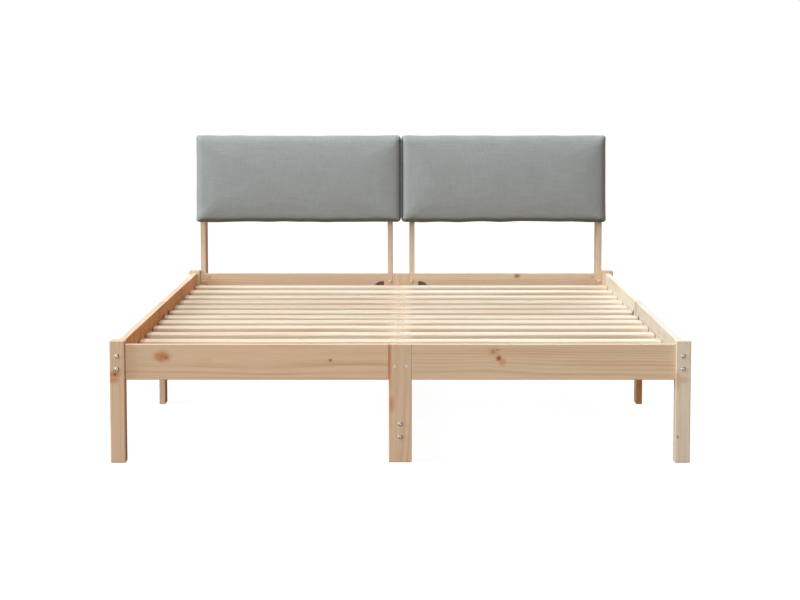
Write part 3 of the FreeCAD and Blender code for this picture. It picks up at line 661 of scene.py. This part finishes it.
def linen(name):
    """Coarse plain weave: yarns over and under on each side of a cushion, with slubs, and painted shade
    underneath and beside the joint.
    """
    graph = Graph(name)
    place = graph.place()
    facing = graph.facing()
    sides = graph.split(graph.vector("ABSOLUTE", facing))
    slip = graph.math("MULTIPLY", graph.noise(place, SWAY_WAVES), YARN_SLIP)
    swayed = graph.split(graph.vector("ADD", place, graph.grey(slip)))
    turns = 2 * math.pi / YARN_PITCH
    x, y, z = (graph.math("SINE", graph.math("MULTIPLY", part, turns)) for part in swayed)
    weave = 0.0
    for side, pair in zip(sides, ((y, z), (x, z), (x, y))):
        crossing = graph.math("MULTIPLY", *pair)
        weave = graph.math("MULTIPLY_ADD", crossing, graph.smooth(side, *WEAVE_SIDE_STEP), weave)

    weft = graph.drawn_noise(place, WEFT_WAVES, detail=3.0, rough=0.6)
    warp = graph.drawn_noise(place, WARP_WAVES, detail=3.0, rough=0.6)
    yarn = graph.math("ADD", graph.smooth(weft, *SLUB_STEP), graph.smooth(warp, *SLUB_STEP))
    cloud = graph.noise(place, CLOUD_WAVES, detail=3.0, rough=0.55)
    tone = graph.mix(graph.math("MULTIPLY", yarn, 0.5), YARN_DARK, YARN_LIGHT)
    tone = graph.mix(graph.smooth(cloud, *CLOUD_STEP), tone, LINEN_CLOUD)
    # Painted shade on the underside, and on the ends of the cushions where they meet at x = 0
    under = graph.smooth(graph.split(facing)[2], *UNDER_SHADE_STEP)
    joint_shade_reach = graph.smooth(graph.math("ABSOLUTE", graph.split(place)[0]), *JOINT_SHADE_STEP)
    inside = graph.math("MULTIPLY", joint_shade_reach, graph.smooth(sides[0], *JOINT_SHADE_SIDE_STEP))
    tone = graph.mix(graph.math("MAXIMUM", under, inside), tone, LINEN_SHADE)
    tone = graph.mix(1.0, tone, graph.grey(graph.smooth(weave, *WEAVE_STEP)), "MULTIPLY")
    height = graph.math("MULTIPLY_ADD", yarn, SLUB_RELIEF, weave)
    graph.set(
        Base_Color=tone, Roughness=graph.smooth(yarn, *LINEN_ROUGHNESS),
        Normal=graph.bump(height, *LINEN_BUMP), Sheen_Weight=LINEN_SHEEN,
        Sheen_Roughness=SHEEN_ROUGHNESS, Specular_IOR_Level=LINEN_SPECULAR,
    )
    return graph.material


def dress(node, material):
    """Gives a CAD node one material."""
    mesh = nodes[node].data
    mesh.materials.clear()
    mesh.materials.append(material)


def dress_frame():
    """Materials of all the CAD nodes that stay in view: what isn't metal, plywood or linen is pine."""
    groups = (
        (STEEL_NODES, steel("plated_steel", PLATED_STEEL)),
        (NUT_NODES, steel("dull_zinc", DULL_ZINC, STEEL_STAIN)),
        (DARK_NODES, steel("dark_screw_steel", DARK_SCREW_STEEL)),
        (CAP_NODES, painted("beige_paint")),
        (PLY_NODES, plywood("plywood")),
    )
    boards = set(nodes) - set(CUSHION_NODES)
    for group, material in groups:
        boards -= set(group)
        for node in group:
            dress(node, material)
    for node in sorted(boards):
        dress(node, pine(node))


def keep_shape(pad):
    """Makes the shape that a pad's modifiers give it its own mesh."""
    depsgraph = bpy.context.evaluated_depsgraph_get()
    pad.data = bpy.data.meshes.new_from_object(pad.evaluated_get(depsgraph))
    pad.modifiers.clear()


def inflate(pad, held):
    """The places of a pad's points when air swells it, while the held points stay."""
    cloth = pad.modifiers.new("air", "CLOTH")
    cloth.settings.quality = 5
    cloth.settings.mass = 0.3
    cloth.settings.use_pressure = True
    cloth.settings.uniform_pressure_force = 4.0
    cloth.settings.tension_stiffness = 40
    cloth.settings.compression_stiffness = 40
    cloth.settings.bending_stiffness = 4
    cloth.settings.vertex_group_mass = held.name
    cloth.settings.effector_weights.gravity = 0
    cloth.collision_settings.use_collision = False
    scene = bpy.context.scene
    scene.frame_start = 1
    scene.frame_end = AIR_STEPS
    for step in range(1, AIR_STEPS + 1):
        scene.frame_set(step)
    depsgraph = bpy.context.evaluated_depsgraph_get()
    swollen = [v.co.copy() for v in pad.evaluated_get(depsgraph).data.vertices]
    pad.modifiers.remove(cloth)
    scene.frame_set(1)
    return swollen


def swell(pad, held):
    """Fills a pad: its points move as the air moves them, the furthest by the named swell."""
    start = [v.co.copy() for v in pad.data.vertices]
    swollen = inflate(pad, held)
    moves = [after - before for before, after in zip(start, swollen)]
    furthest = max(move.length for move in moves)
    share = min(1.0, SWELL / furthest) if furthest else 0.0
    for vertex, before, move in zip(pad.data.vertices, start, moves):
        vertex.co = before + move * share


def fit_cover(mesh, low, high, outer):
    """Brings a cover back to the width and height of its solid, and a little past them."""
    left, right = (PROUD_INSIDE, PROUD) if outer > 0 else (PROUD, PROUD_INSIDE)
    ends = {0: (low.x - left, high.x + right), 2: (low.z - PROUD, high.z + PROUD)}
    for axis, (start, stop) in ends.items():
        places = [v.co[axis] for v in mesh.vertices]
        first, last = min(places), max(places)
        for vertex, place in zip(mesh.vertices, places):
            vertex.co[axis] = start + (place - first) / (last - first) * (stop - start)


def rim(side, start_share):
    """How near a point is to an edge: 0 as far as the start share, and 1 at the edge."""
    return max(0.0, side - start_share) / (1 - start_share)


def roll_fill(distance):
    """How much fuller a cover is than its solid beside the roll of its rim, from 0 to 1."""
    rise = min(1.0, max(0.0, (distance - ROLL_START) / (ROLL_FULL - ROLL_START)))
    return rise * rise * (3 - 2 * rise) * math.exp(-max(0.0, distance - ROLL_FULL) / ROLL_FADE)


def shape_cover(mesh, low, high, outer, seed):
    """Bows a cover's face, and gives it a rolled rim that isn't quite straight."""
    middle = (low + high) / 2
    half = (high - low) / 2
    for vertex in mesh.vertices:
        x, y, z = vertex.co
        side_x = (x - middle.x) / half.x
        side_z = (z - middle.z) / half.z
        side_out = side_x * outer
        front = max(0.0, middle.y - y) / half.y

        # The outer ends wave, and their corners stand out, the lower ones further
        flare = rim(side_out, FLARE_SHARE) * (0.5 - 0.5 * side_z) * FLARE
        end_share, height_share = CORNER_SHARES
        corner = rim(side_out, end_share) * rim(abs(side_z), height_share) * CORNER
        end_noise = noise.noise(Vector((seed, z * END_WAVES, side_x)))
        wave = rim(abs(side_x), END_SHARE) * END_DIP * end_noise
        if side_out < -STEADY_SHARE:
            wave = 0.0
        # The ends that meet are filled where the solids are drawn in, so no light comes between them
        end_share, height_share = FILL_SHARES
        drawn_in = max(0.0, 1 - (side_z / height_share) ** 2)
        fill = rim(-side_out, end_share) * INSIDE_FILL * drawn_in
        # The top edge dips between its staples, and the lower edge goes up and down
        top_noise = noise.noise(Vector((x * TOP_WAVES, seed, TOP_SLICE)))
        dip = rim(side_z, TOP_SHARE) * TOP_DIP * (0.5 + 0.5 * top_noise)
        under_noise = noise.noise(Vector((x * UNDER_WAVES, seed, UNDER_SLICE)))
        under = rim(-side_z, UNDER_SHARE) * UNDER_DIP * under_noise
        # The face is bowed and full, with shallow dents, and puckers towards the top and the bottom
        along_x, along_z = PUCKER_WAVES
        pucker_noise = noise.noise(Vector((x * along_x, z * along_z, seed)))
        pucker = rim(abs(side_z), PUCKER_SHARE) * PUCKER * pucker_noise
        dent = noise.noise(vertex.co * DENT_WAVES + Vector((seed, 0, 0))) * DENT
        from_end = half.x - abs(x - middle.x)
        from_top = half.z - abs(z - middle.z)
        bow = CROWN * (1 - side_z ** 2) * min(1.0, (1 - min(1.0, abs(side_x))) * CROWN_RISE)
        full = roll_fill(from_end) * END_ROLL + roll_fill(from_top) * TOP_ROLL

        vertex.co.x += (flare + corner - fill) * outer + wave * side_x
        vertex.co.z += under - dip + math.copysign(corner, side_z)
        vertex.co.y += (dent + pucker - bow - full) * front


def cushion(node, material, seed):
    """A stuffed cushion in the place of its CAD solid, with a wavy stapled rim."""
    low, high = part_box(node)
    outer = 1 if low.x + high.x > 0 else -1
    pad = bpy.data.objects.new(f"{node}_cover", nodes[node].data.copy())
    bpy.context.scene.collection.objects.link(pad)
    bpy.context.view_layer.objects.active = pad
    remesh = pad.modifiers.new("cells", "REMESH")
    remesh.mode = "VOXEL"
    remesh.voxel_size = CELL
    keep_shape(pad)
    back = high.y - (high.y - low.y) * HELD_SHARE
    held = pad.vertex_groups.new(name="held")
    held.add([v.index for v in pad.data.vertices if v.co.y > back], 1.0, "ADD")
    swell(pad, held)
    smooth = pad.modifiers.new("smooth", "SMOOTH")
    smooth.factor = 0.5
    smooth.iterations = 3
    keep_shape(pad)
    fit_cover(pad.data, low, high, outer)
    shape_cover(pad.data, low, high, outer, seed)
    fine = pad.modifiers.new("fine", "SUBSURF")
    fine.levels = 1
    fine.render_levels = 1
    for polygon in pad.data.polygons:
        polygon.use_smooth = True
    pad.data.materials.clear()
    pad.data.materials.append(material)
    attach(pad, "root")
    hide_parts(node)


def surroundings():
    """A world that the camera sees as white and that fills the shadows with warm light."""
    world = bpy.data.worlds.new("studio")
    bpy.context.scene.world = world
    world.use_nodes = True
    tree = world.node_tree
    seen = tree.nodes.new("ShaderNodeLightPath")
    tint = tree.nodes.new("ShaderNodeMix")
    tint.data_type = "RGBA"
    tint.inputs[6].default_value = WARM_FILL
    tint.inputs[7].default_value = WHITE
    tree.links.new(seen.outputs["Is Camera Ray"], tint.inputs[0])
    tree.links.new(tint.outputs[2], tree.nodes["Background"].inputs["Color"])


def white_floor():
    """A floor that the camera sees as nearly white, with faint shadows, and that throws warm light."""
    mesh = bpy.data.meshes.new("floor")
    shape = bmesh.new()
    bmesh.ops.create_grid(shape, x_segments=1, y_segments=1, size=FLOOR_HALF)
    shape.to_mesh(mesh)
    shape.free()
    floor = bpy.data.objects.new("floor", mesh)
    floor.location.z = -FLOOR_DROP
    bpy.context.scene.collection.objects.link(floor)
    graph = Graph("floor_white")
    seen = graph.add("LightPath", {}, out="Is Camera Ray")
    far = graph.vector("LENGTH", graph.place(), out="Value")
    glow = graph.math("MULTIPLY", seen, graph.smooth(far, *FLOOR_GLOW))
    graph.set(
        Base_Color=graph.mix(seen, WARM_FLOOR, SEEN_FLOOR),
        Roughness=FLOOR_ROUGHNESS, Specular_IOR_Level=0.0,
        Emission_Color=WHITE, Emission_Strength=glow,
    )
    mesh.materials.append(graph.material)


def soft_box(name, place, size, power):
    """A lamp that points at the bed and isn't seen itself."""
    light = bpy.data.lights.new(name, "AREA")
    light.shape = "RECTANGLE"
    light.size, light.size_y = size
    light.energy = power
    light.color = COOL_LIGHT
    lamp = bpy.data.objects.new(name, light)
    lamp.location = place
    lamp.rotation_mode = "QUATERNION"
    lamp.rotation_quaternion = (Vector(LAMP_TARGET) - Vector(place)).to_track_quat("-Z", "Y")
    lamp.visible_camera = False
    bpy.context.scene.collection.objects.link(lamp)


def studio():
    """White floor, white surroundings and soft boxes."""
    bpy.context.scene.view_settings.view_transform = "Standard"
    surroundings()
    white_floor()
    for name, (place, size, power) in LAMPS.items():
        soft_box(name, place, size, power)


def camera():
    """The photograph's view: from beyond the foot of the bed and a little down."""
    lens = bpy.data.cameras.new("camera")
    lens.sensor_width = SENSOR
    lens.lens = LENS
    lens.shift_x = SHIFT
    lens.clip_end = VIEW_END
    eye = bpy.data.objects.new("camera", lens)
    eye.location = EYE
    eye.rotation_euler = (math.radians(90 - LOOK_DOWN), 0, 0)
    bpy.context.scene.collection.objects.link(eye)
    bpy.context.scene.camera = eye


dress_frame()
cover = linen("linen")
for number, node in enumerate(CUSHION_NODES, start=1):
    cushion(node, cover, number * COVER_SEED)
studio()
camera()
